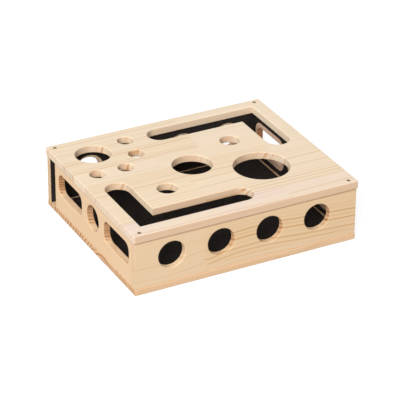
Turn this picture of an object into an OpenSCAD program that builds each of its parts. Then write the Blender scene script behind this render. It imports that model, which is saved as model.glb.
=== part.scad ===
// Cat scratcher puzzle box: a low pine box with play openings on five sides and black scratch sheets inside.
// Millimetres. +X runs along the long side, +Y to the back, +Z up. The origin is the centre of the underside.

/* [Box] */
// Width of the top panel, left to right
top_w = 300; // [285:1:340]
// Depth of the top panel, front to back
top_d = 250; // [225:1:290]
// Thickness of the top panel
top_t = 10; // [8:0.5:14]
// Thickness of the base panel
base_t = 8; // [7:0.5:14]
// Height of the four walls
wall_h = 62; // [56:1:80]
// Thickness of the four walls
wall_t = 9; // [7:0.5:11]
// Overhang of the top panel beyond the side walls
top_side_overhang = 1.5; // [0:0.5:6]
// Overhang of the top panel beyond the front and back walls
top_front_overhang = 1.5; // [0:0.5:4]
// Ledge of the base panel beyond the side walls
base_side_ledge = 0.5; // [0:0.5:6]
// Ledge of the base panel beyond the front and back walls
base_front_ledge = 1; // [0:0.5:4]
// Radius of the two panels' upright corners
corner_r = 2; // [0.5:0.5:6]

/* [L slots in the top] */
// Width of both arms of the slots
slot_w = 31; // [20:1:34]
// Length of the arm along the front or back edge
slot_long = 156; // [100:1:165]
// Length of the arm along the side edge
slot_short = 108; // [60:1:114]
// Distance from the panel's side edge to the slot
slot_side_margin = 18; // [16:0.5:28]
// Distance from the panel's front edge to the front slot
front_slot_margin = 20; // [15:0.5:28]
// Distance from the panel's back edge to the rear slot
rear_slot_margin = 16.5; // [15:0.5:28]

/* [Round holes in the top] */
// Diameter of the large hole
large_hole_d = 70; // [45:1:80]
// Sideways place of the large hole
large_hole_x = 65; // [45:0.5:80]
// Front-to-back place of the large hole
large_hole_y = -37.5; // [-60:0.5:-20]
// Diameter of the middle hole
middle_hole_d = 50; // [30:1:56]
// Sideways place of the middle hole
middle_hole_x = -9; // [-25:0.5:5]
// Front-to-back place of the middle hole
middle_hole_y = 3; // [-15:0.5:20]
// Diameter of the corner hole
corner_hole_d = 45; // [30:1:48]
// Sideways place of the corner hole
corner_hole_x = -105; // [-112:0.5:-95]
// Front-to-back place of the corner hole
corner_hole_y = 82; // [70:0.5:88]
// Diameter of the two treat holes
treat_hole_d = 25; // [16:1:32]
// Sideways place of the treat hole beside the rear slot
rear_treat_hole_x = 62; // [48:0.5:75]
// Front-to-back place of the treat hole beside the rear slot
rear_treat_hole_y = 39; // [25:0.5:52]
// Sideways place of the treat hole beside the front slot
front_treat_hole_x = -63; // [-76:0.5:-50]
// Front-to-back place of the treat hole beside the front slot
front_treat_hole_y = -37; // [-50:0.5:-22]
// Diameter of the four peep holes
peep_hole_d = 20; // [12:1:24]
// Sideways place of the first peep hole, counted from the back
peep_hole_1_x = -54; // [-62:0.5:-42]
// Front-to-back place of the first peep hole, counted from the back
peep_hole_1_y = 97; // [88:0.5:102]
// Sideways place of the second peep hole
peep_hole_2_x = -57; // [-65:0.5:-42]
// Front-to-back place of the second peep hole
peep_hole_2_y = 59.5; // [48:0.5:68]
// Sideways place of the third peep hole
peep_hole_3_x = -84; // [-95:0.5:-70]
// Front-to-back place of the third peep hole
peep_hole_3_y = 33; // [22:0.5:42]
// Sideways place of the fourth peep hole
peep_hole_4_x = -122; // [-126:0.5:-110]
// Front-to-back place of the fourth peep hole
peep_hole_4_y = 32.5; // [22:0.5:42]

/* [Wall openings] */
// Diameter of the round holes in the front and back walls
wall_hole_d = 35; // [20:1:40]
// Diameter of the round holes in the side walls
side_hole_d = 33; // [20:1:40]
// Distance between neighbouring round holes along the front and back walls
opening_pitch = 65; // [60:1:69]
// Shift of the front wall's row of holes to the right
front_row_shift = -3; // [-8:0.5:8]
// Shift of the back wall's row of holes to the right
back_row_shift = -0.5; // [-8:0.5:8]
// Wood between a side wall's round hole and its two windows
window_gap = 14.5; // [11:0.5:24]
// Wood between a window and its end of the side wall, when the row is in the middle of the wall
window_end_margin = 9; // [8:0.5:20]
// Shift of the left wall's row of openings toward the back
left_row_shift = -1; // [-3:0.5:3]
// Shift of the right wall's row of openings toward the back
right_row_shift = 2; // [-3:0.5:3]
// Height of the windows in the side walls
window_h = 29; // [24:1:40]
// Corner radius of the windows
window_r = 10; // [3:0.5:12]
// Height of the front holes above the middle of their wall
front_rise = 4.5; // [-6:0.5:6]
// Height of the left openings above the middle of their wall
left_rise = 6.5; // [-7:0.5:7]
// Height of the back holes above the middle of their wall
back_rise = 1.5; // [-6:0.5:6]
// Height of the right openings above the middle of their wall
right_rise = -2.5; // [-7:0.5:7]
// Width of the upright slot beside one end of each side wall
side_slot_w = 14; // [8:0.5:18]

/* [Scratch sheets] */
// Thickness of the glued scratch sheets
sheet_t = 1; // [0.5:0.1:2]
// Thickness of the two pull-out scratch boards
board_t = 1.6; // [1:0.1:3]
// Bare wood left round each opening by the sheets and boards
sheet_margin = 4; // [1:0.5:5]
// Bare wood left above and below the windows by the side sheets
window_sheet_margin = 8; // [1:0.5:9]
// Bare strip left round the floor sheet
floor_margin = 4; // [2:0.5:12]
// Running clearance of the pull-out boards on each side
board_clear = 0.3; // [0.2:0.1:0.8]

/* [Screws and dowels] */
// Diameter of the screws
screw_d = 3; // [2.5:0.5:4]
// Diameter of the countersunk heads
screw_head_d = 5; // [4.5:0.5:8]
// Length of the screws through the top panel
lid_screw_len = 25; // [18:1:27]
// Length of the screws through the base panel
base_screw_len = 20; // [16:1:21]
// Depth of the heads below the wood
screw_sink = 0.3; // [0.2:0.1:1]
// Width of the cross in the heads
cross_w = 0.9; // [0.6:0.1:1.2]
// Length of the cross in the heads
cross_len = 2.8; // [2:0.1:3]
// Depth of the cross in the heads
cross_deep = 1.1; // [0.6:0.1:1.4]
// Clearance round the screws and dowels
fastener_clear = 0.15; // [0.05:0.05:0.2]
// Distance of the lid screws from the panel's side edges
lid_screw_inset = 10; // [7:0.5:16]
// Distance of the lid screws inward from the middle of the wall under them
lid_screw_offset = 1; // [0:0.5:1.5]
// Diameter of the dowels between the side walls and the long walls
dowel_d = 5; // [4:0.5:6]
// Depth of a dowel in each of the two walls
dowel_depth = 5; // [4:0.5:6.5]
// Distance between the two dowels of a joint
dowel_spacing = 16; // [12:1:18]

/* [Hidden] */
frame_w = top_w - 2 * top_side_overhang;
frame_d = top_d - 2 * top_front_overhang;
base_w = frame_w + 2 * base_side_ledge;
base_d = frame_d + 2 * base_front_ledge;
top_z = base_t + wall_h;
inner_x = frame_w / 2 - wall_t;
inner_y = frame_d / 2 - wall_t;
wall_mid_z = base_t + wall_h / 2;
side_wall_len = 2 * inner_y - side_slot_w;
side_wall_mid_y = -side_slot_w / 2;
window_len = side_wall_len / 2 - window_end_margin - window_gap - side_hole_d / 2;
window_pitch = side_hole_d / 2 + window_gap + window_len / 2;
holes_per_row = 4;
board_face_y = inner_y - board_clear - board_t;
sheet_face_x = inner_x - sheet_t;
dowel_x = frame_w / 2 - wall_t / 2;
screw_r = screw_d / 2;
head_r = screw_head_d / 2;
cut = 1;
$fn = 96;

round_top_holes = [
    [[large_hole_x, large_hole_y], large_hole_d],
    [[middle_hole_x, middle_hole_y], middle_hole_d],
    [[corner_hole_x, corner_hole_y], corner_hole_d],
    [[rear_treat_hole_x, rear_treat_hole_y], treat_hole_d],
    [[front_treat_hole_x, front_treat_hole_y], treat_hole_d],
    [[peep_hole_1_x, peep_hole_1_y], peep_hole_d],
    [[peep_hole_2_x, peep_hole_2_y], peep_hole_d],
    [[peep_hole_3_x, peep_hole_3_y], peep_hole_d],
    [[peep_hole_4_x, peep_hole_4_y], peep_hole_d]
];

// One lid screw near each corner, into the front and back walls
lid_screw_x = top_w / 2 - lid_screw_inset;
lid_screw_y = frame_d / 2 - wall_t / 2 - lid_screw_offset;
lid_screw_places = [for (sy = [-1, 1]) for (sx = [-1, 1]) [sx * lid_screw_x, sy * lid_screw_y]];

// Two base screws into each wall, between its openings; the second half is the first turned half round
long_screw_y = frame_d / 2 - wall_t / 2;
side_screw_gap = side_hole_d / 2 + window_gap / 2;
near_base_screws = concat(
    [for (s = [-1, 1]) [s * opening_pitch + front_row_shift, -long_screw_y]],
    [for (s = [-1, 1]) [-dowel_x, side_wall_mid_y + s * side_screw_gap]]
);
base_screw_places = concat(near_base_screws, [for (p = near_base_screws) -p]);

// Two dowels at the butt joint of each side wall
dowel_heights = [wall_mid_z - dowel_spacing / 2, wall_mid_z + dowel_spacing / 2];
dowel_turns = [0, 0, 180, 180];

lid_screw_names = [for (i = [1 : len(lid_screw_places)]) str("lid_screw_", i)];
base_screw_names = [for (i = [1 : len(base_screw_places)]) str("base_screw_", i)];
dowel_names = [for (i = [1 : len(dowel_turns)]) str("dowel_", i)];
panel_names = ["top_panel", "base_panel", "front_wall", "back_wall", "left_wall", "right_wall"];
sheet_names = ["floor_sheet", "left_sheet", "right_sheet", "front_board", "back_board"];

pine = [0.93, 0.85, 0.73];
warm_pine = [0.90, 0.77, 0.58];
scratch_black = [0.10, 0.09, 0.09];
screw_grey = [0.30, 0.28, 0.26];
beech = [0.82, 0.66, 0.46];

// Flat rectangle with round corners, centred
module rounded_rect(w, h, r) {
    square([w - 2 * r, h], center = true);
    square([w, h - 2 * r], center = true);
    for (sx = [-1, 1], sy = [-1, 1])
        translate([sx * (w / 2 - r), sy * (h / 2 - r)])
            circle(r);
}

// L slot with its outer corner at the origin, the long arm along +X and round ends
module l_slot() {
    end_r = slot_w / 2;
    square([slot_long - end_r, slot_w]);
    square([slot_w, slot_short - end_r]);
    translate([slot_long - end_r, end_r])
        circle(end_r);
    translate([end_r, slot_short - end_r])
        circle(end_r);
}

// Row of round holes along a long wall, grown by a margin
module hole_row(grow = 0) {
    for (i = [0 : holes_per_row - 1])
        translate([(i - (holes_per_row - 1) / 2) * opening_pitch, 0])
            circle(d = wall_hole_d + 2 * grow);
}

// Window, round hole and window along a side wall, grown by a margin and the windows by their own in height
module side_row(grow = 0, window_grow = 0) {
    circle(d = side_hole_d + 2 * grow);
    for (s = [-1, 1])
        translate([s * window_pitch, 0])
            rounded_rect(window_len + 2 * grow, window_h + 2 * window_grow, window_r + grow);
}

// Room for a countersunk screw whose head is at the origin and whose point is down
module screw_room(length) {
    room_r = screw_r + fastener_clear;
    seat_r = head_r + fastener_clear;
    translate([0, 0, -length - fastener_clear])
        cylinder(r = room_r, h = length);
    translate([0, 0, -screw_sink - (seat_r - room_r)])
        cylinder(r1 = room_r, r2 = seat_r, h = seat_r - room_r);
    translate([0, 0, -screw_sink])
        cylinder(r = seat_r, h = screw_sink + cut);
}

// Countersunk cross-head screw, head up, sunk below the origin
module screw(length) {
    difference() {
        translate([0, 0, -length])
            rotate_extrude()
                polygon([
                    [0, 0],
                    [screw_r, screw_d],
                    [screw_r, length - screw_sink - (head_r - screw_r)],
                    [head_r, length - screw_sink],
                    [0, length - screw_sink]
                ]);
        for (turn = [0, 90])
            rotate(turn)
                translate([-cross_len / 2, -cross_w / 2, -screw_sink - cross_deep])
                    cube([cross_len, cross_w, cross_deep + cut]);
    }
}

module lid_screw_rooms() {
    for (p = lid_screw_places)
        translate([p[0], p[1], top_z + top_t])
            screw_room(lid_screw_len);
}

module base_screw_rooms() {
    for (p = base_screw_places)
        translate([p[0], p[1], 0])
            rotate([180, 0, 0])
                screw_room(base_screw_len);
}

// Dowel of the left wall's butt joint with the front wall, or the room for it
module dowel_at(height, clear = 0) {
    translate([-dowel_x, -inner_y, height])
        rotate([90, 0, 0])
            cylinder(d = dowel_d + 2 * clear, h = 2 * (dowel_depth + clear), center = true);
}

module dowel_rooms() {
    for (height = dowel_heights)
        dowel_at(height, fastener_clear);
}

// Front wall, or the back wall when turned half round
module long_wall(rise, shift) {
    difference() {
        translate([0, -inner_y, 0])
            rotate([90, 0, 0])
                linear_extrude(wall_t)
                    difference() {
                        translate([-frame_w / 2, base_t])
                            square([frame_w, wall_h]);
                        translate([shift, wall_mid_z + rise])
                            hole_row();
                    }
        lid_screw_rooms();
        base_screw_rooms();
        dowel_rooms();
    }
}

// Left wall, or the right wall when turned half round; it stops short of the far long wall
module side_wall(rise, shift) {
    difference() {
        translate([-frame_w / 2, side_wall_mid_y, 0])
            rotate([90, 0, 90])
                linear_extrude(wall_t)
                    difference() {
                        translate([-side_wall_len / 2, base_t])
                            square([side_wall_len, wall_h]);
                        translate([shift, wall_mid_z + rise])
                            side_row();
                    }
        base_screw_rooms();
        dowel_rooms();
    }
}

// Glued sheet on the left wall, or on the right wall when turned half round
module side_sheet(rise, shift) {
    front_y = -board_face_y + board_clear;
    back_y = side_wall_mid_y + side_wall_len / 2;
    translate([-inner_x, 0, 0])
        rotate([90, 0, 90])
            linear_extrude(sheet_t)
                difference() {
                    translate([front_y, base_t])
                        square([back_y - front_y, wall_h]);
                    translate([side_wall_mid_y + shift, wall_mid_z + rise])
                        side_row(sheet_margin, window_sheet_margin);
                }
}

// Pull-out board along the front wall, or along the back wall when turned half round
module pull_out_board(rise, shift) {
    left_x = -inner_x + board_clear;
    translate([0, -board_face_y, 0])
        rotate([90, 0, 0])
            linear_extrude(board_t)
                difference() {
                    translate([left_x, base_t + board_clear])
                        square([frame_w / 2 - left_x, wall_h - 2 * board_clear]);
                    translate([shift, wall_mid_z + rise])
                        hole_row(sheet_margin);
                }
}

module top_panel() {
    color(pine)
        difference() {
            translate([0, 0, top_z])
                linear_extrude(top_t)
                    difference() {
                        rounded_rect(top_w, top_d, corner_r);
                        translate([-top_w / 2 + slot_side_margin, -top_d / 2 + front_slot_margin])
                            l_slot();
                        translate([top_w / 2 - slot_side_margin, top_d / 2 - rear_slot_margin])
                            rotate(180)
                                l_slot();
                        for (hole = round_top_holes)
                            translate(hole[0])
                                circle(d = hole[1]);
                    }
            lid_screw_rooms();
        }
}

module base_panel() {
    color(warm_pine)
        difference() {
            linear_extrude(base_t)
                rounded_rect(base_w, base_d, corner_r);
            base_screw_rooms();
        }
}

module front_wall() {
    color(warm_pine)
        long_wall(front_rise, front_row_shift);
}

module back_wall() {
    color(warm_pine)
        rotate(180)
            long_wall(back_rise, -back_row_shift);
}

module left_wall() {
    color(warm_pine)
        side_wall(left_rise, left_row_shift);
}

module right_wall() {
    color(warm_pine)
        rotate(180)
            side_wall(right_rise, -right_row_shift);
}

module floor_sheet() {
    color(scratch_black)
        translate([0, 0, base_t + sheet_t / 2])
            cube([2 * (sheet_face_x - floor_margin), 2 * (board_face_y - floor_margin), sheet_t], center = true);
}

module left_sheet() {
    color(scratch_black)
        side_sheet(left_rise, left_row_shift);
}

module right_sheet() {
    color(scratch_black)
        rotate(180)
            side_sheet(right_rise, -right_row_shift);
}

module front_board() {
    color(scratch_black)
        pull_out_board(front_rise, front_row_shift);
}

module back_board() {
    color(scratch_black)
        rotate(180)
            pull_out_board(back_rise, -back_row_shift);
}

module lid_screw(place) {
    color(screw_grey)
        translate([place[0], place[1], top_z + top_t])
            screw(lid_screw_len);
}

module base_screw(place) {
    color(screw_grey)
        translate([place[0], place[1], 0])
            rotate([180, 0, 0])
                screw(base_screw_len);
}

module dowel(i) {
    color(beech)
        rotate(dowel_turns[i])
            dowel_at(dowel_heights[i % 2]);
}

top_panel();
base_panel();
front_wall();
back_wall();
left_wall();
right_wall();
floor_sheet();
left_sheet();
right_sheet();
front_board();
back_board();
for (i = [0 : len(lid_screw_places) - 1])
    lid_screw(lid_screw_places[i]);
for (i = [0 : len(base_screw_places) - 1])
    base_screw(base_screw_places[i]);
for (i = [0 : len(dowel_turns) - 1])
    dowel(i);
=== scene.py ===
"""Looks of the cat scratcher puzzle box: sanded pine boards, a black scratch lining and sunk screws."""

import logging
import math
from dataclasses import dataclass, field
from enum import Enum
from functools import cached_property
from typing import Any

import bmesh
import bpy
from mathutils import Matrix, Vector


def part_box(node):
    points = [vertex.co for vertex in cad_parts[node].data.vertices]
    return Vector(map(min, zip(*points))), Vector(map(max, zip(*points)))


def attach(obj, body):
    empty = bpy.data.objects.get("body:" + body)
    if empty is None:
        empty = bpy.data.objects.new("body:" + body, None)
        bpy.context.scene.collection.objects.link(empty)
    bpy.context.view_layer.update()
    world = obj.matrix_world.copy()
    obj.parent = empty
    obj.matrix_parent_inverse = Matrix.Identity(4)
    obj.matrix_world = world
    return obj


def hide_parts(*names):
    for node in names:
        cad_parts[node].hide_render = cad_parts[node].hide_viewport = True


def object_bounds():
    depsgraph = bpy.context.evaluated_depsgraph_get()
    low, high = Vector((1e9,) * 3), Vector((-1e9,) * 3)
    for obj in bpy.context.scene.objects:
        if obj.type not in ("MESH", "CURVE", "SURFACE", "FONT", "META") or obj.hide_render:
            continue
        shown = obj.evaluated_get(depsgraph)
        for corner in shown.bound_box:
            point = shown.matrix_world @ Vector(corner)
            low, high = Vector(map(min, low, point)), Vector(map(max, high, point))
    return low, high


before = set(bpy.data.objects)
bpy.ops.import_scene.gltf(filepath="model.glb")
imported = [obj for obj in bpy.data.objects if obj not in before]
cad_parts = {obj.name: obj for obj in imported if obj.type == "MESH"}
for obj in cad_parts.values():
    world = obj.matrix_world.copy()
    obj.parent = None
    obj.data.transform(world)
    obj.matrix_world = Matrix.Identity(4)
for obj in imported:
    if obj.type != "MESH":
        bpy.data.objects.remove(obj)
CAD_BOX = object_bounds()

LOG = logging.getLogger("puzzle_box")
MM = 0.001
PHOTO_WIDTH = 416
BOX_BODY = "box"
LID_SCREWS = tuple(f"lid_screw_{i}" for i in range(1, 5))
BASE_SCREWS = tuple(f"base_screw_{i}" for i in range(1, 9))
DOWELS = tuple(f"dowel_{i}" for i in range(1, 5))

Quad = tuple[float, float, float, float]
Shape = bmesh.types.BMesh
Point = bmesh.types.BMVert
Edge = bmesh.types.BMEdge


class Axis(Enum):
    """The three directions of the box, by their place in a vector."""

    X = 0
    Y = 1
    Z = 2


class StudioRay(Enum):
    """Kinds of ray that see the studio itself at its full brightness."""

    CAMERA = "Is Camera Ray"
    GLOSSY = "Is Glossy Ray"
    TRANSMISSION = "Is Transmission Ray"


@dataclass(frozen=True)
class Tint:
    """A colour written as the eye sees it, each part from 0 to 255."""

    red: float
    green: float
    blue: float

    @property
    def linear(self) -> Quad:
        """The colour as the shader takes it, by the sRGB curve and with full alpha."""
        parts = (c / 255 for c in (self.red, self.green, self.blue))
        red, green, blue = (c / 12.92 if c <= 0.04045 else ((c + 0.055) / 1.055) ** 2.4 for c in parts)
        return (red, green, blue, 1.0)


BLACK = Tint(0, 0, 0)
WHITE = Tint(255, 255, 255)


class Wire:
    """A shader value that Python's operators act on, each adding one Math node."""

    def __init__(self, sheet: "ShaderSheet", socket: bpy.types.NodeSocket) -> None:
        """Wraps one output socket.

        Args:
            sheet: The node sheet that holds the socket.
            socket: The output socket.
        """
        self.sheet = sheet
        self.socket = socket

    def __add__(self, other: "Wire | float") -> "Wire":
        """Sum of two values."""
        return self.sheet.math("ADD", self, other)

    __radd__ = __add__

    def __sub__(self, other: "Wire | float") -> "Wire":
        """Difference of two values."""
        return self.sheet.math("SUBTRACT", self, other)

    def __rsub__(self, other: float) -> "Wire":
        """Difference from a plain number."""
        return self.sheet.math("SUBTRACT", other, self)

    def __mul__(self, other: "Wire | float") -> "Wire":
        """Product of two values."""
        return self.sheet.math("MULTIPLY", self, other)

    __rmul__ = __mul__

    def __truediv__(self, other: "Wire | float") -> "Wire":
        """Quotient of two values."""
        return self.sheet.math("DIVIDE", self, other)

    def __pow__(self, other: "Wire | float") -> "Wire":
        """Power of a value."""
        return self.sheet.math("POWER", self, other)

    def __abs__(self) -> "Wire":
        """Size of a value without its sign."""
        return self.sheet.math("ABSOLUTE", self)

    def __floor__(self) -> "Wire":
        """Whole number below a value."""
        return self.sheet.math("FLOOR", self)

    def fraction(self) -> "Wire":
        """Part of a value after its whole number."""
        return self.sheet.math("FRACT", self)

    def root(self) -> "Wire":
        """Square root of a value."""
        return self.sheet.math("SQRT", self)

    def ramp(self, low: float, high: float) -> "Wire":
        """Smooth step of a value.

        Args:
            low: Where the step leaves 0.
            high: Where the step reaches 1.

        Returns:
            A value from 0 to 1.
        """
        sockets = {"Value": self, "From Min": low, "From Max": high}
        return self.sheet.add("ShaderNodeMapRange", {"interpolation_type": "SMOOTHSTEP"}, sockets)

    def parts(self) -> list["Wire"]:
        """The three parts of a vector."""
        node = self.sheet.add("ShaderNodeSeparateXYZ", {}, {0: self}).socket.node
        return [Wire(self.sheet, out) for out in node.outputs]


Place = tuple[Wire, Wire, Wire]


class ShaderSheet:
    """A node tree under construction, for a material or the world."""

    def __init__(self, owner: bpy.types.Material | bpy.types.World) -> None:
        """Empties the owner's node tree.

        Args:
            owner: The material or world that gets the nodes.
        """
        owner.use_nodes = True
        self.tree = owner.node_tree
        self.tree.nodes.clear()

    def add(
        self, kind: str, settings: dict[str, Any], sockets: dict[str | int, Any], out: str | int = 0
    ) -> Wire:
        """Adds one node.

        Args:
            kind: The node's type.
            settings: Properties, which are set before the sockets.
            sockets: Values or wires by socket name or place.
            out: The output that is wanted.

        Returns:
            The wanted output.
        """
        node = self.tree.nodes.new(kind)
        for name, value in settings.items():
            setattr(node, name, value)
        for name, value in sockets.items():
            if isinstance(value, Wire):
                self.tree.links.new(value.socket, node.inputs[name])
            else:
                node.inputs[name].default_value = value
        return Wire(self, node.outputs[out] if len(node.outputs) else None)

    def math(self, operation: str, *values: Wire | float) -> Wire:
        """Adds a Math node on one or two values.

        Args:
            operation: The node's operation.
            values: Wires or plain numbers.

        Returns:
            The result.
        """
        return self.add("ShaderNodeMath", {"operation": operation}, dict(enumerate(values)))

    def vector(self, x: Wire | float, y: Wire | float, z: Wire | float) -> Wire:
        """Joins three values into a vector.

        Args:
            x: First part.
            y: Second part.
            z: Third part.

        Returns:
            The vector.
        """
        return self.add("ShaderNodeCombineXYZ", {}, {0: x, 1: y, 2: z})

    def coordinate(self, name: str) -> Wire:
        """A texture coordinate by its name."""
        return self.add("ShaderNodeTexCoord", {}, {}, out=name)

    def scaled(self, place: Wire, size: float) -> Wire:
        """A place counted in steps of a size in metres."""
        return self.add("ShaderNodeVectorMath", {"operation": "SCALE"}, {0: place, "Scale": 1 / size})

    def noise(self, place: Wire, detail: float = 2.0) -> Wire:
        """Soft noise from about -0.5 to 0.5, one feature to a unit.

        Args:
            place: Where it is read.
            detail: Number of finer layers.

        Returns:
            The noise.
        """
        return self.add("ShaderNodeTexNoise", {}, {"Vector": place, "Scale": 1.0, "Detail": detail}) - 0.5

    def chance(self, number: Wire) -> Wire:
        """One random value from 0 to 1 for each number."""
        return self.add("ShaderNodeTexWhiteNoise", {"noise_dimensions": "1D"}, {"W": number})

    def blend(self, share: Wire | float, first: Wire | Tint, second: Wire | Tint) -> Wire:
        """Mixes two colours.

        Args:
            share: Share of the second colour.
            first: First colour.
            second: Second colour.

        Returns:
            The mixed colour.
        """
        start, end = (c.linear if isinstance(c, Tint) else c for c in (first, second))
        return self.add("ShaderNodeMix", {"data_type": "RGBA"}, {0: share, 6: start, 7: end}, out=2)

    def between(self, share: Wire, first: Wire | float, second: Wire | float) -> Wire:
        """A value that goes from the first to the second as the share goes from 0 to 1."""
        return first + share * (second - first)

    def steps(self, position: Wire, stops: list[tuple[float, Quad]]) -> list[Wire]:
        """Looks up four values that change in steps along a position.

        Args:
            position: The position, from 0 to 1.
            stops: Where each step starts, with its four values.

        Returns:
            The four values.
        """
        look_up = self.add("ShaderNodeValToRGB", {}, {0: position})
        ramp = look_up.socket.node.color_ramp
        ramp.interpolation = "CONSTANT"
        while len(ramp.elements) < len(stops):
            ramp.elements.new(1.0)
        while len(ramp.elements) > len(stops):
            ramp.elements.remove(ramp.elements[-1])
        for element, (start, values) in zip(ramp.elements, stops):
            element.position = start
            element.color = values
        colour = self.add("ShaderNodeSeparateColor", {}, {0: look_up}).socket.node
        return [Wire(self, out) for out in (*colour.outputs, look_up.socket.node.outputs["Alpha"])]

    def relief(self, height: Wire, strength: float, depth: float) -> Wire:
        """A normal that is bent by a height.

        Args:
            height: The height, about 1 at the most.
            strength: How much of it shows, from 0 to 1.
            depth: The depth that a height of 1 stands for, in metres.

        Returns:
            The normal.
        """
        return self.add("ShaderNodeBump", {}, {"Strength": strength, "Distance": depth, "Height": height})

    def surface(self, shader: Wire) -> None:
        """Sends a shader to the material's or world's output."""
        owner = "World" if shader.socket.node.type == "BACKGROUND" else "Material"
        self.add(f"ShaderNodeOutput{owner}", {}, {"Surface": shader})

    def coat(self, sockets: dict[str | int, Any]) -> None:
        """Covers the material with one Principled shader of these sockets."""
        self.surface(self.add("ShaderNodeBsdfPrincipled", {}, sockets))


@dataclass(frozen=True)
class Stock:
    """One length of timber.

    Attributes:
        warmth: Share of the warm tone, from 0 to 1.
        figure: Strength of the growth rings, from 0 to 1.
        heart: Place of the tree's heart among the lengths, from 0 to 1.
        rosy: Share of the rosy tone, from 0 to 1.
    """

    warmth: float
    figure: float
    heart: float
    rosy: float = 0.15


@dataclass(frozen=True)
class Strip:
    """A strip of a glued-up board: two lengths of timber, finger-jointed end to end.

    Attributes:
        start: Where the strip starts across the board, in millimetres.
        joint: Where its two lengths meet along the grain, in millimetres.
        before: The length before the joint.
        after: The length after the joint.
        edge: Strength of the painted shade on its faces turned across the board, 1 being the board's own.
    """

    start: float
    joint: float
    before: Stock
    after: Stock
    edge: float = 1.0


@dataclass(frozen=True)
class Patch:
    """Patches of uneven wood, drawn out along the grain.

    Attributes:
        length: Length of a patch along the grain, in millimetres.
        width: Its width across and through the board, in millimetres.
        detail: Number of finer layers.
    """

    length: float
    width: float
    detail: float = 2.0

    def draw(self, sheet: ShaderSheet, place: Place) -> Wire:
        """Draws the patches.

        Args:
            sheet: The material's sheet.
            place: Place along, across and through the board, in millimetres.

        Returns:
            Noise from about -0.5 to 0.5.
        """
        along, across, through = place
        where = sheet.vector(along / self.length, across / self.width, through / self.width)
        return sheet.noise(where, self.detail)


@dataclass(frozen=True)
class Rings:
    """Growth rings of the log that a board is cut from.

    Attributes:
        pith: Place of the log's heart across and through the board, in millimetres.
        spacing: Mean distance between rings, in millimetres.
        rarity: Power that leaves only some rings strong.
        bow: Sag of the lines at the reach from the board's middle, in millimetres.
        reach: Distance along the grain over which the bow is counted, in millimetres.
        heart_spread: Spread of the heart's place among the lengths, in millimetres.
        sway: Sideways sway of the log, in millimetres.
        sway_length: Length of one sway, in millimetres.
        ripple: Waviness of a line, in millimetres.
        ripple_patch: Size of one ripple.
        drift: Change of the spacing, in rings.
        drift_size: Width over which the spacing changes, in millimetres.
        slow: Number of layers in the sway and the drift.
        late_from: Where in a ring the late wood starts.
        late_full: Where in a ring it is darkest.
        late_end: Where in a ring it stops.
    """

    pith: tuple[float, float]
    spacing: float = 6.0
    rarity: float = 1.0
    bow: float = 0.0
    reach: float = 150.0
    heart_spread: float = 30.0
    sway: float = 26.0
    sway_length: float = 170.0
    ripple: float = 2.4
    ripple_patch: Patch = Patch(60.0, 26.0)
    drift: float = 1.3
    drift_size: float = 15.0
    slow: float = 1.0
    late_from: float = 0.4
    late_full: float = 0.9
    late_end: float = 0.94

    def draw(self, sheet: ShaderSheet, place: Place, heart: Wire) -> tuple[Wire, Wire]:
        """Draws the rings.

        Args:
            sheet: The material's sheet.
            place: Place along, across and through the board, in millimetres.
            heart: Place of the heart among the lengths, from 0 to 1.

        Returns:
            The share of late wood, and each ring's strength.
        """
        along, across, through = place
        pith_across, pith_through = self.pith
        log = heart * self.sway
        sag = (along / self.reach) ** 2.0 * self.bow
        sway = sheet.noise(sheet.vector(along / self.sway_length, log + pith_across, 0.0), self.slow)
        side = across + sag - pith_across - heart * self.heart_spread + sway * self.sway
        deep = through - pith_through
        radius = (side * side + deep * deep).root() + self.ripple_patch.draw(sheet, place) * self.ripple
        drift = sheet.noise(sheet.vector(radius / self.drift_size, log, pith_through), self.slow)
        rings = radius / self.spacing + drift * self.drift
        phase = rings.fraction()
        late = phase.ramp(self.late_from, self.late_full) * (1.0 - phase.ramp(self.late_end, 1.0))
        return late, sheet.chance(math.floor(rings) + heart) ** self.rarity


@dataclass(frozen=True)
class TimberTones:
    """Colours of bare sanded timber, which are those of pine unless others are given.

    Attributes:
        pale: Early wood.
        warm: Early wood in warm lengths.
        late: Lines of late wood.
        rosy: Rosy streaks.
        side: A darker tone on the faces turned across the board, painted shade there.
        side_shade_share: Share of that painted shade there.
        cut: End grain.
        cut_share: Share of that tone there.
        cut_lines: Strength of the rings on end grain.
        bore_lines: Strength of the rings on the slanting walls of round holes.
        cut_late: Lines of late wood on end grain.
        seam: Painted shadow in the gap under the board that lies on this one.
    """

    pale: Tint = Tint(241, 222, 194)
    warm: Tint = Tint(232, 198, 152)
    late: Tint = Tint(203, 154, 98)
    rosy: Tint = Tint(239, 217, 200)
    side: Tint = Tint(225, 188, 150)
    side_shade_share: float = 0.0
    cut: Tint = Tint(190, 138, 92)
    cut_share: float = 0.2
    cut_lines: float = 0.3
    bore_lines: float = 1.2
    cut_late: Tint = Tint(196, 142, 92)
    seam: Tint = Tint(138, 84, 26)


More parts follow.
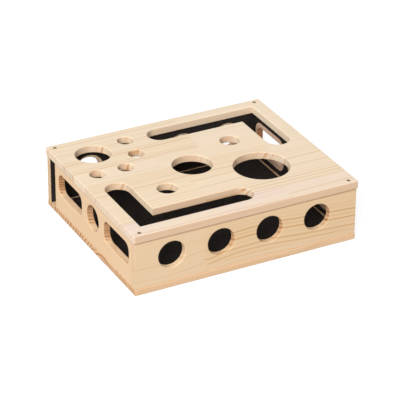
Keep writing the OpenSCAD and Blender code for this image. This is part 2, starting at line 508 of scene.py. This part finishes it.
@dataclass(frozen=True)
class Timber:
    """Bare sanded timber, whose growth rings run all through the wood.

    Attributes:
        name: The material's name.
        grain: Direction of the fibres.
        width: Direction across the board's face.
        depth: Direction through the board.
        strips: The glued-up strips, by their place across the board.
        rings: The growth rings.
        tones: The colours.
        finger: Length of the finger joints, in millimetres.
        finger_pitch: Width of one finger, in millimetres.
        joint_blur: Half the width of a joint's line, as a share of the span.
        span: The places that the strips and joints lie between, in millimetres.
        facing: Tilt at which a cut starts to count as end or side grain, and at which it fully does.
        faint_ring: Strength of the weakest ring on end grain.
        fibre: The fibres.
        streak: The streaks.
        streak_fibre: Share of the fibres in the streaks.
        streak_range: Where a streak starts to show, and where it is full.
        streak_share: Strength of the streaks.
        mottle: The rosy patches.
        mottle_range: Where a rosy patch starts to show, and where it is full.
        roughness: Roughness of the sanded face.
        fibre_rough: Change of roughness among the fibres.
        gloss: Strength of the shine.
        relief: Share of the grain's relief that shows.
        relief_depth: Depth of the grain's relief, in millimetres.
        seam: Where across the board the painted shadow under the board above starts, and where it is
            darkest, in millimetres.
        seam_shadow_share: Strength of that painted shadow.
    """

    name: str
    grain: Axis
    width: Axis
    depth: Axis
    strips: tuple[Strip, ...]
    rings: Rings
    tones: TimberTones = TimberTones()
    finger: float = 9.0
    finger_pitch: float = 5.0
    joint_blur: float = 0.0005
    span: tuple[float, float] = (-160.0, 160.0)
    facing: tuple[float, float] = (0.3, 0.95)
    faint_ring: float = 0.4
    fibre: Patch = Patch(38.0, 0.55, detail=3.0)
    streak: Patch = Patch(150.0, 4.5)
    streak_fibre: float = 0.4
    streak_range: tuple[float, float] = (0.0, 0.6)
    streak_share: float = 0.28
    mottle: Patch = Patch(120.0, 30.0, detail=1.0)
    mottle_range: tuple[float, float] = (-0.4, 0.1)
    roughness: float = 0.56
    fibre_rough: float = 0.12
    gloss: float = 0.35
    relief: float = 0.12
    relief_depth: float = 0.2
    seam: tuple[float, float] = (66.8, 69.4)
    seam_shadow_share: float = 0.0

    def material(self) -> bpy.types.Material:
        """Builds the material.

        Returns:
            The finished material.
        """
        material = bpy.data.materials.new(self.name)
        sheet = ShaderSheet(material)
        tones = self.tones
        where = sheet.coordinate("Object").parts()
        place = tuple(where[axis.value] / MM for axis in (self.grain, self.width, self.depth))
        along, across, _ = place
        normal = sheet.coordinate("Normal").parts()
        end, side = (abs(normal[axis.value]).ramp(*self.facing) for axis in (self.grain, self.width))
        warmth, figure, heart, rosy, edge = self._stock(sheet, along, across)
        late, strong = self.rings.draw(sheet, place, heart)
        patches = (self.fibre, self.streak, self.mottle)
        fibre, streak, mottle = (patch.draw(sheet, place) for patch in patches)
        streaks = (streak + fibre * self.streak_fibre).ramp(*self.streak_range)
        open_grain = end * figure
        cut = open_grain * (tones.cut_lines + side * tones.bore_lines)
        lines = late * sheet.math("MAXIMUM", figure * strong, cut * (self.faint_ring + strong))
        wood = sheet.blend(warmth, tones.pale, tones.warm)
        wood = sheet.blend(rosy * mottle.ramp(*self.mottle_range), wood, tones.rosy)
        # Painted shade: the faces turned across the board get a darker tone.
        wood = sheet.blend(side * edge * tones.side_shade_share, wood, tones.side)
        wood = sheet.blend(open_grain * tones.cut_share, wood, tones.cut)
        wood = sheet.blend(streaks * self.streak_share, wood, tones.late)
        wood = sheet.blend(lines, wood, sheet.blend(end, tones.late, tones.cut_late))
        # Painted shadow: darker towards the edge that lies under another board.
        wood = sheet.blend(across.ramp(*self.seam) * self.seam_shadow_share, wood, tones.seam)
        sockets = {
            "Base Color": wood,
            "Roughness": self.roughness + self.fibre_rough * fibre,
            "Specular IOR Level": self.gloss,
            "Normal": sheet.relief(fibre + lines, self.relief, self.relief_depth * MM),
        }
        sheet.coat(sockets)
        return material

    def _stock(self, sheet: ShaderSheet, along: Wire, across: Wire) -> list[Wire]:
        """Finds the length of timber that a place lies in.

        Args:
            sheet: The material's sheet.
            along: Place along the fibres, in millimetres.
            across: Place across the board, in millimetres.

        Returns:
            Warmth, figure, heart and rosy share of that length, and the strength of its strip's painted
            shade on the faces turned across the board.
        """
        low, high = self.span

        def share(value: Wire | float) -> Wire | float:
            """A place as a share of the span."""
            return (value - low) / (high - low)

        def look_up(values: list[Quad]) -> list[Wire]:
            """Looks up four values of the strip that a place lies in."""
            return sheet.steps(share(across), [(share(s.start), v) for s, v in zip(self.strips, values)])

        before, after = (
            look_up([(n.warmth, n.figure, n.heart, n.rosy) for n in row])
            for row in ([s.before for s in self.strips], [s.after for s in self.strips])
        )
        # A look-up holds four values, of which this one needs two.
        joint, edge, *_ = look_up([(share(s.joint), s.edge, 0.0, 1.0) for s in self.strips])
        # The fingers' outline is a triangle wave from -0.5 to 0.5.
        tooth = abs((across / self.finger_pitch).fraction() - 0.5) * 2.0 - 0.5
        past = (share(along + tooth * self.finger) - joint).ramp(-self.joint_blur, self.joint_blur)
        return [sheet.between(past, first, second) for first, second in zip(before, after)] + [edge]


@dataclass(frozen=True)
class Grit:
    """Black abrasive grit on stiff board.

    Attributes:
        name: The material's name.
        dark: Colour between the grains.
        light: Colour of the grains that catch the light.
        grain: Size of a grain, in millimetres.
        cloud: Size of the worn patches, in millimetres.
        cloud_mean: Mean share of the light colour on a grain.
        cloud_share: Change of that share among the worn patches.
        glint_from: Nearness to a grain's middle where it starts to catch the light.
        roughness: Roughness between the grains.
        polish: Roughness that the grains lose.
        gloss: Strength of the shine.
        relief: Share of the grains' relief that shows.
        relief_depth: Height of a grain, in millimetres.
    """

    name: str = "black_grit"
    dark: Tint = Tint(32, 27, 25)
    light: Tint = Tint(76, 65, 58)
    grain: float = 0.6
    cloud: float = 14.0
    cloud_mean: float = 0.5
    cloud_share: float = 0.9
    glint_from: float = 0.35
    roughness: float = 0.9
    polish: float = 0.2
    gloss: float = 0.25
    relief: float = 0.5
    relief_depth: float = 0.3

    def material(self) -> bpy.types.Material:
        """Builds the material.

        Returns:
            The finished material.
        """
        material = bpy.data.materials.new(self.name)
        sheet = ShaderSheet(material)
        place = sheet.coordinate("Object")
        cells = {"Vector": sheet.scaled(place, self.grain * MM), "Scale": 1.0}
        grains = sheet.add("ShaderNodeTexVoronoi", {"feature": "F1"}, cells)
        worn = self.cloud_mean + self.cloud_share * sheet.noise(sheet.scaled(place, self.cloud * MM))
        glint = (1.0 - grains).ramp(self.glint_from, 1.0)
        sockets = {
            "Base Color": sheet.blend(glint * worn, self.dark, self.light),
            "Roughness": self.roughness - self.polish * glint,
            "Specular IOR Level": self.gloss,
            "Normal": sheet.relief(glint, self.relief, self.relief_depth * MM),
        }
        sheet.coat(sockets)
        return material


@dataclass(frozen=True)
class Steel:
    """Yellow-plated steel of the screws.

    Attributes:
        name: The material's name.
        dark: Colour in the hollows.
        worn: Colour where the driver has rubbed.
        patch: Size of the rubbed patches, in millimetres.
        rub_range: Where a rubbed patch starts to show, and where it is full.
        roughness: Mean roughness.
        unevenness: Change of roughness among the patches.
        metal: How metallic the plating is.
    """

    name: str = "screw_steel"
    dark: Tint = Tint(128, 112, 84)
    worn: Tint = Tint(176, 158, 126)
    patch: float = 0.7
    rub_range: tuple[float, float] = (-0.2, 0.3)
    roughness: float = 0.45
    unevenness: float = 0.3
    metal: float = 0.8

    def material(self) -> bpy.types.Material:
        """Builds the material.

        Returns:
            The finished material.
        """
        material = bpy.data.materials.new(self.name)
        sheet = ShaderSheet(material)
        rub = sheet.noise(sheet.scaled(sheet.coordinate("Object"), self.patch * MM))
        sockets = {
            "Base Color": sheet.blend(rub.ramp(*self.rub_range), self.dark, self.worn),
            "Metallic": self.metal,
            "Roughness": self.roughness + self.unevenness * rub,
        }
        sheet.coat(sockets)
        return material


@dataclass(frozen=True)
class WhiteStudio:
    """White floor and world that look white and light the box at a plain level.

    Attributes:
        ambient: Brightness of the world as a light.
        near_glow: Glow that brings the lit floor beside the box to white.
        far_glow: Glow of the floor far from the box, where less light falls.
        glow_reach: Where the glow starts to grow, and where it is full, in metres.
        floor_reach: Half the floor's side, in metres.
        floor_drop: Gap between the floor and the box, in metres.
        paint: The floor's colour.
        roughness: The floor's roughness.
        gloss: Strength of the floor's shine.
    """

    ambient: float = 0.55
    near_glow: float = 0.79
    far_glow: float = 1.0
    glow_reach: tuple[float, float] = (0.2, 0.5)
    floor_reach: float = 6.0
    floor_drop: float = 0.0002
    paint: Tint = Tint(160, 160, 160)
    roughness: float = 0.9
    gloss: float = 0.0

    def build(self) -> None:
        """Makes the world and the floor."""
        world = bpy.data.worlds.new("white_world")
        bpy.context.scene.world = world
        sheet = ShaderSheet(world)
        seen = self._seen(sheet)
        strength = seen + (1.0 - seen) * self.ambient
        sheet.surface(sheet.add("ShaderNodeBackground", {}, {"Color": WHITE.linear, "Strength": strength}))
        floor = self._floor()
        floor.data.materials.append(self._floor_paint())

    def _seen(self, sheet: ShaderSheet) -> Wire:
        """Finds whether a ray is one that shows the studio itself.

        Args:
            sheet: The sheet that asks.

        Returns:
            1 for such a ray, and otherwise 0.
        """
        path = sheet.add("ShaderNodeLightPath", {}, {}).socket.node.outputs
        camera, glossy, through = (Wire(sheet, path[kind.value]) for kind in StudioRay)
        return sheet.math("MINIMUM", camera + glossy + through, 1.0)

    def _floor(self) -> bpy.types.Object:
        """Makes the floor's mesh.

        Returns:
            The floor.
        """
        shape = bmesh.new()
        bmesh.ops.create_grid(shape, x_segments=1, y_segments=1, size=self.floor_reach)
        bmesh.ops.translate(shape, verts=shape.verts, vec=(0, 0, -self.floor_drop))
        return new_object("floor", shape)

    def _floor_paint(self) -> bpy.types.Material:
        """Makes the floor's material.

        Returns:
            The finished material.
        """
        material = bpy.data.materials.new("floor_paint")
        sheet = ShaderSheet(material)
        place = sheet.coordinate("Object")
        away = sheet.add("ShaderNodeVectorMath", {"operation": "LENGTH"}, {0: place}, out="Value")
        glow = sheet.between(away.ramp(*self.glow_reach), self.near_glow, self.far_glow)
        sockets = {
            "Base Color": self.paint.linear,
            "Roughness": self.roughness,
            "Specular IOR Level": self.gloss,
            "Emission Color": sheet.blend(self._seen(sheet) * glow, BLACK, WHITE),
            "Emission Strength": 1.0,
        }
        sheet.coat(sockets)
        return material


@dataclass(frozen=True)
class Softbox:
    """A square studio lamp.

    Attributes:
        name: The lamp's name.
        azimuth: Direction from the box, in degrees, 0 being the front.
        elevation: Height above the floor, in degrees.
        share: Brightness that it gives to a white face turned to it.
        distance: Distance from the box, in metres.
        side: Length of its side, in metres.
    """

    name: str
    azimuth: float
    elevation: float
    share: float
    distance: float = 6.0
    side: float = 2.5

    def build(self) -> None:
        """Places the lamp so that it looks at the middle of the box."""
        lamp = bpy.data.lights.new(self.name, "AREA")
        lamp.shape = "SQUARE"
        lamp.size = self.side
        # A lamp of P watts lights a white face at distance d to P / (pi * d) ** 2.
        lamp.energy = self.share * (math.pi * self.distance) ** 2
        target = (CAD_BOX[0] + CAD_BOX[1]) / 2
        back = view_direction(self.azimuth, self.elevation)
        lamp_object = bpy.data.objects.new(self.name, lamp)
        lamp_object.location = target + back * self.distance
        lamp_object.rotation_euler = back.to_track_quat("Z", "Y").to_euler()
        bpy.context.scene.collection.objects.link(lamp_object)


@dataclass(frozen=True)
class PhotoCamera:
    """The camera, fitted to the edges of the box.

    Attributes:
        azimuth: Direction from the box, in degrees, 0 being the front.
        elevation: Height above the horizon, in degrees.
        roll: Turn about its own axis, in degrees.
        place: Its place, in metres.
        focal: Focal length in widths of the picture.
        sensor: Width of the sensor, in millimetres.
        far: Distance that it sees to, in metres.
    """

    azimuth: float = -27.933
    elevation: float = 29.2
    roll: float = 0.522
    place: tuple[float, float, float] = (-1.0900, -2.0779, 1.3299)
    focal: float = 2184.1 / PHOTO_WIDTH
    sensor: float = 36.0
    far: float = 100.0

    def build(self) -> None:
        """Makes the camera and gives it to the scene."""
        lens = bpy.data.cameras.new("photo_camera")
        lens.sensor_width = self.sensor
        lens.lens = self.focal * self.sensor
        lens.clip_end = self.far
        turn = math.radians(self.azimuth)
        right = Vector((math.cos(turn), math.sin(turn), 0))
        back = view_direction(self.azimuth, self.elevation)
        axes = Matrix((right, back.cross(right), back)).transposed()
        camera = bpy.data.objects.new("photo_camera", lens)
        camera.rotation_mode = "QUATERNION"
        roll = Matrix.Rotation(math.radians(self.roll), 3, "Z")
        camera.rotation_quaternion = (axes @ roll).to_quaternion()
        camera.location = self.place
        bpy.context.scene.collection.objects.link(camera)
        bpy.context.scene.camera = camera


def view_direction(azimuth: float, elevation: float) -> Vector:
    """Direction from the box to a viewer.

    Args:
        azimuth: Angle round the box in degrees, 0 being the front.
        elevation: Angle above the horizon in degrees.

    Returns:
        A unit vector.
    """
    turn, rise = math.radians(azimuth), math.radians(elevation)
    return Vector((math.sin(turn) * math.cos(rise), -math.cos(turn) * math.cos(rise), math.sin(rise)))


def new_object(name: str, shape: Shape) -> bpy.types.Object:
    """Turns a finished shape into an object in the scene.

    Args:
        name: The object's name.
        shape: The shape, which is freed.

    Returns:
        The object.
    """
    mesh = bpy.data.meshes.new(name)
    shape.to_mesh(mesh)
    shape.free()
    made = bpy.data.objects.new(name, mesh)
    bpy.context.scene.collection.objects.link(made)
    return made


@dataclass
class EasedBoard:
    """A pine board whose arrises are sanded round.

    Attributes:
        node: The CAD node that it stands for.
        slot: Name of a material slot, which is not used.
        pine: Its finish.
        outline: Radius of the sanded arrises round the board, in metres.
        rim: Radius of the sanded arrises round its openings, in metres.
        rounds: Number of facets across an arris.
        flat_angle: Angle below which faces are one flat, in radians.
        sharp_angle: Angle above which an edge is an arris, in radians.
        merge: Distance at which points are one, in metres.
        border: Width of the strip along the board's sides that counts as its outline, in metres.
        seat_reach: Distance round a screw or dowel within which edges stay sharp, in metres.
    """

    node: str
    slot: str
    pine: Timber
    outline: float
    rim: float
    rounds: int = 3
    flat_angle: float = math.radians(0.4)
    sharp_angle: float = math.radians(40)
    merge: float = 0.002 * MM
    border: float = 1.0 * MM
    seat_reach: float = 0.6 * MM

    def build(self) -> bpy.types.Object:
        """Shapes the board and dresses it.

        Returns:
            The board.
        """
        shape = bmesh.new()
        shape.from_mesh(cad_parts[self.node].data)
        bmesh.ops.remove_doubles(shape, verts=shape.verts, dist=self.merge)
        bmesh.ops.dissolve_limit(
            shape,
            angle_limit=self.flat_angle,
            verts=shape.verts,
            edges=shape.edges,
            use_dissolve_boundaries=False,
        )
        low, high = self._box
        size = high - low
        thin = list(size).index(min(size))
        for corner, outward in ((low, -1.0), (high, 1.0)):
            normal = Vector((0, 0, 0))
            normal[thin] = outward
            self._sand(shape, normal, corner[thin] * outward)
        bmesh.ops.recalc_face_normals(shape, faces=shape.faces)
        for edge in shape.edges:
            edge.smooth = edge.calc_face_angle() < self.sharp_angle
        for face in shape.faces:
            face.smooth = True
        board = new_object(f"{self.node}_board", shape)
        board.modifiers.new("flat_faces", "WEIGHTED_NORMAL").keep_sharp = True
        board.data.materials.append(self.pine.material())
        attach(board, BOX_BODY)
        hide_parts(self.node)
        return board

    @cached_property
    def _box(self) -> tuple[Vector, Vector]:
        """Two corners of the board's box."""
        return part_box(self.node)

    @cached_property
    def _seats(self) -> list[tuple[Vector, Vector]]:
        """Two corners of the room round each screw and dowel."""
        reach = Vector((self.seat_reach,) * 3)
        boxes = (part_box(name) for name in LID_SCREWS + BASE_SCREWS + DOWELS)
        return [(near - reach, far + reach) for near, far in boxes]

    def _sand(self, shape: Shape, normal: Vector, level: float) -> None:
        """Rounds every arris of one of the board's two faces, and closes the face again.

        Args:
            shape: The board's shape.
            normal: The face's outward direction.
            level: The face's place along that direction.
        """
        face = {f for f in shape.faces if all(abs(v.co.dot(normal) - level) < self.merge for v in f.verts)}
        arrises = [edge for edge in shape.edges if len(face.intersection(edge.link_faces)) == 1]
        bmesh.ops.delete(shape, geom=list(face), context="FACES")
        sides: dict[Point, list[Vector]] = {}
        for edge in arrises:
            for vert in edge.verts:
                sides.setdefault(vert, []).append(edge.link_faces[0].normal.copy())
        curves = {vert: self._curve(shape, vert, normals, normal) for vert, normals in sides.items()}
        rims = [self._strip(shape, edge, curves) for edge in arrises]
        bmesh.ops.triangle_fill(shape, use_beauty=True, edges=rims, normal=normal)

    def _curve(self, shape: Shape, vert: Point, sides: list[Vector], normal: Vector) -> list[Point]:
        """Draws the quarter round of an arris at one of its points.

        Args:
            shape: The board's shape.
            vert: The point, which becomes the foot of the curve.
            sides: Outward directions of the two sides that meet there.
            normal: The face's outward direction.

        Returns:
            The curve's points from the side to the face.
        """
        radius = self._radius(vert.co)
        if not radius:
            return [vert]
        corner = vert.co.copy()
        # The mitre between the two sides, which goes in by one unit from each.
        inward = -sum(sides, Vector()) / (1.0 + sides[0].dot(sides[-1]))
        points = []
        for step in range(self.rounds + 1):
            turn = step / self.rounds * math.pi / 2
            points.append(corner + radius * ((1 - math.cos(turn)) * inward - (1 - math.sin(turn)) * normal))
        vert.co = points[0]
        return [vert] + [shape.verts.new(point) for point in points[1:]]

    def _strip(self, shape: Shape, edge: Edge, curves: dict[Point, list[Point]]) -> Edge:
        """Spans the rounding along one edge of an arris.

        Args:
            shape: The board's shape.
            edge: The edge at the foot of the rounding.
            curves: The curve at each of the arris's points.

        Returns:
            The edge at the rounding's far side.
        """
        loop = edge.link_loops[0]
        first, second = curves[loop.link_loop_next.vert], curves[loop.vert]
        for k in range(len(first) - 1):
            shape.faces.new((first[k], second[k], second[k + 1], first[k + 1]))
        return shape.edges.get((first[-1], second[-1]))

    def _radius(self, place: Vector) -> float:
        """Finds how round an arris is.

        Args:
            place: A point of the arris.

        Returns:
            Its radius, which is 0 round a screw or dowel.
        """
        if any(all(a <= c <= b for a, c, b in zip(near, place, far)) for near, far in self._seats):
            return 0.0
        low, high = self._box
        size = high - low
        across = [axis for axis in range(3) if size[axis] > min(size)]
        inset = min(min(place[axis] - low[axis], high[axis] - place[axis]) for axis in across)
        return self.outline if inset < self.border else self.rim


@dataclass
class Lid:
    """The top panel.

    Attributes:
        outline: Radius of the panel's sanded arrises, in metres.
        rim: Radius of the sanded arrises round its openings, in metres.
        pine: Its finish.
    """

    outline: float = 0.9 * MM
    rim: float = 1.2 * MM
    pine: Timber = Timber(
        name="pine_top",
        grain=Axis.X,
        width=Axis.Y,
        depth=Axis.Z,
        strips=(
            Strip(-160, 60, Stock(0.05, 0.25, 0.2, 0.95), Stock(0.1, 0.3, 0.45, 0.65), edge=1.15),
            Strip(-94, -30, Stock(0.2, 0.35, 0.9), Stock(0.15, 0.45, 0.1)),
            Strip(-33, 95, Stock(0.3, 0.5, 0.4), Stock(0.1, 0.25, 0.8), edge=0.7),
            Strip(9, -40, Stock(0.05, 0.2, 0.7), Stock(0.15, 0.3, 0.3)),
            Strip(39, 21, Stock(0.25, 0.8, 0.1), Stock(0.05, 0.25, 0.6)),
            Strip(74, 27, Stock(0.15, 0.35, 0.55), Stock(0.0, 0.2, 0.95), edge=0.58),
        ),
        rings=Rings(pith=(-160.0, 30.0), spacing=5.5, rarity=2.2, sway=10.0),
        tones=TimberTones(
            # Painted shade on the lid's front, back and opening walls.
            side=Tint(222, 187, 154),
            side_shade_share=0.75,
            cut=Tint(206, 184, 162),
            cut_share=0.5,
            bore_lines=3.8,
            cut_late=Tint(190, 128, 76),
        ),
        streak_share=0.2,
    )

    def build(self) -> list[bpy.types.Object]:
        """Makes the lid.

        Returns:
            Its pieces.
        """
        return [EasedBoard("top_panel", "pine_top", self.pine, self.outline, self.rim).build()]


@dataclass
class Carcass:
    """The base and the four walls.

    Attributes:
        base_outline: Radius of the base's sanded arrises, in metres.
        wall_outline: Radius of the walls' sanded arrises, in metres.
        rim: Radius of the sanded arrises round the openings, in metres.
        base: Finish of the base.
        front: Finish of the front wall.
        back: Finish of the back wall.
        left: Finish of the left wall.
        right: Finish of the right wall.
    """

    base_outline: float = 0.8 * MM
    wall_outline: float = 0.7 * MM
    rim: float = 1.2 * MM
    base: Timber = Timber(
        name="pine_base",
        grain=Axis.X,
        width=Axis.Y,
        depth=Axis.Z,
        strips=(
            Strip(-160, 40, Stock(0.9, 0.6, 0.3), Stock(0.8, 0.5, 0.6)),
            Strip(-70, -60, Stock(0.7, 0.7, 0.8), Stock(0.9, 0.6, 0.1)),
            Strip(-10, 80, Stock(0.9, 0.6, 0.1), Stock(0.7, 0.6, 0.5)),
            Strip(55, -20, Stock(0.8, 0.7, 0.6), Stock(0.8, 0.5, 0.9)),
        ),
        rings=Rings(pith=(-60.0, -40.0)),
        tones=TimberTones(
            pale=Tint(234, 208, 178),
            warm=Tint(224, 182, 136),
            cut=Tint(212, 168, 120),
            cut_share=0.9,
            cut_lines=2.0,
            cut_late=Tint(172, 118, 72),
        ),
    )
    front: Timber = Timber(
        name="pine_front",
        grain=Axis.X,
        width=Axis.Z,
        depth=Axis.Y,
        strips=(
            Strip(-160, -56, Stock(0.45, 0.15, 0.1), Stock(0.5, 0.4, 0.7)),
            Strip(16, -56, Stock(0.5, 0.2, 0.1), Stock(0.8, 0.9, 0.7)),
        ),
        rings=Rings(pith=(-90.0, -150.0), spacing=5.4, bow=9.0, ripple=3.2, drift=2.4, drift_size=26.0),
        tones=TimberTones(
            pale=Tint(232, 206, 172),
            warm=Tint(230, 194, 146),
            cut=Tint(196, 142, 96),
            cut_share=0.5,
            cut_lines=0.8,
            cut_late=Tint(178, 116, 70),
        ),
        # Painted shadow under the lid along the top of the wall.
        seam_shadow_share=0.5,
    )
    back: Timber = Timber(
        name="pine_back",
        grain=Axis.X,
        width=Axis.Z,
        depth=Axis.Y,
        strips=(Strip(-160, 20, Stock(0.7, 0.6, 0.6), Stock(0.55, 0.4, 0.2)),),
        rings=Rings(pith=(-80.0, 160.0)),
        tones=TimberTones(cut_share=0.5, cut_lines=1.0),
    )
    left: Timber = Timber(
        name="pine_left",
        grain=Axis.Y,
        width=Axis.Z,
        depth=Axis.X,
        strips=(Strip(-160, 40, Stock(0.6, 0.3, 0.3), Stock(0.5, 0.35, 0.8)),),
        rings=Rings(pith=(-100.0, -170.0), spacing=3.4, rarity=0.5),
        tones=TimberTones(
            pale=Tint(239, 207, 169),
            warm=Tint(233, 195, 148),
            cut=Tint(184, 130, 80),
            cut_share=2.0,
            cut_lines=3.0,
            cut_late=Tint(162, 106, 64),
        ),
        # Painted shadow under the lid along the top of the wall.
        seam_shadow_share=0.4,
    )
    right: Timber = Timber(
        name="pine_right",
        grain=Axis.Y,
        width=Axis.Z,
        depth=Axis.X,
        strips=(Strip(-160, -30, Stock(0.6, 0.4, 0.9), Stock(0.7, 0.5, 0.4)),),
        rings=Rings(pith=(-90.0, 180.0), spacing=6.5),
        tones=TimberTones(
            pale=Tint(244, 214, 192),
            warm=Tint(238, 192, 158),
            cut=Tint(176, 112, 66),
            cut_share=1.8,
            cut_lines=1.5,
        ),
    )

    def build(self) -> list[bpy.types.Object]:
        """Makes the carcass.

        Returns:
            Its pieces.
        """
        walls = {
            "front_wall": self.front,
            "back_wall": self.back,
            "left_wall": self.left,
            "right_wall": self.right,
        }
        boards = [EasedBoard("base_panel", "pine_base", self.base, self.base_outline, self.rim)]
        for node, pine in walls.items():
            boards.append(EasedBoard(node, "pine_wall", pine, self.wall_outline, self.rim))
        return [board.build() for board in boards]


@dataclass
class ScratchLining:
    """The black sheets on floor and sides, and the two boards that pull out.

    Attributes:
        nodes: The CAD nodes that it dresses.
        grit: Their finish.
    """

    nodes: tuple[str, ...] = ("floor_sheet", "left_sheet", "right_sheet", "front_board", "back_board")
    grit: Grit = field(default_factory=Grit)

    def build(self) -> list[bpy.types.Object]:
        """Dresses the lining.

        Returns:
            Its pieces.
        """
        return dress(self.nodes, self.grit.material())


@dataclass
class Fasteners:
    """The screws and dowels.

    Attributes:
        steel: Finish of the screws.
        beech: Finish of the dowels.
    """

    steel: Steel = field(default_factory=Steel)
    beech: Timber = Timber(
        name="beech_dowel",
        grain=Axis.Y,
        width=Axis.X,
        depth=Axis.Z,
        strips=(Strip(-160, 160, Stock(1.0, 0.3, 0.5), Stock(1.0, 0.3, 0.5)),),
        rings=Rings(pith=(0.0, 0.0), spacing=2.0),
    )

    def build(self) -> list[bpy.types.Object]:
        """Dresses the fasteners.

        Returns:
            Its pieces.
        """
        return dress(LID_SCREWS + BASE_SCREWS, self.steel.material()) + dress(DOWELS, self.beech.material())


def dress(nodes: tuple[str, ...], material: bpy.types.Material) -> list[bpy.types.Object]:
    """Gives CAD nodes a material.

    Args:
        nodes: Names of the nodes.
        material: The material.

    Returns:
        The nodes' objects.
    """
    pieces = [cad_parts[name] for name in nodes]
    for piece in pieces:
        for slot in piece.material_slots:
            slot.material = material
    return pieces


def main() -> None:
    """Builds the studio and the box, and reports each piece."""
    logging.basicConfig(level=logging.INFO, format="%(name)s: %(message)s")
    bpy.context.scene.view_settings.view_transform = "Standard"
    PhotoCamera().build()
    WhiteStudio().build()
    Softbox("key", azimuth=-46, elevation=33, share=0.9).build()
    for assembly in (Lid(), Carcass(), ScratchLining(), Fasteners()):
        for piece in assembly.build():
            LOG.info("%s: %s, %d faces", type(assembly).__name__, piece.name, len(piece.data.polygons))
    bpy.context.view_layer.update()


if __name__ == "__main__":
    main()
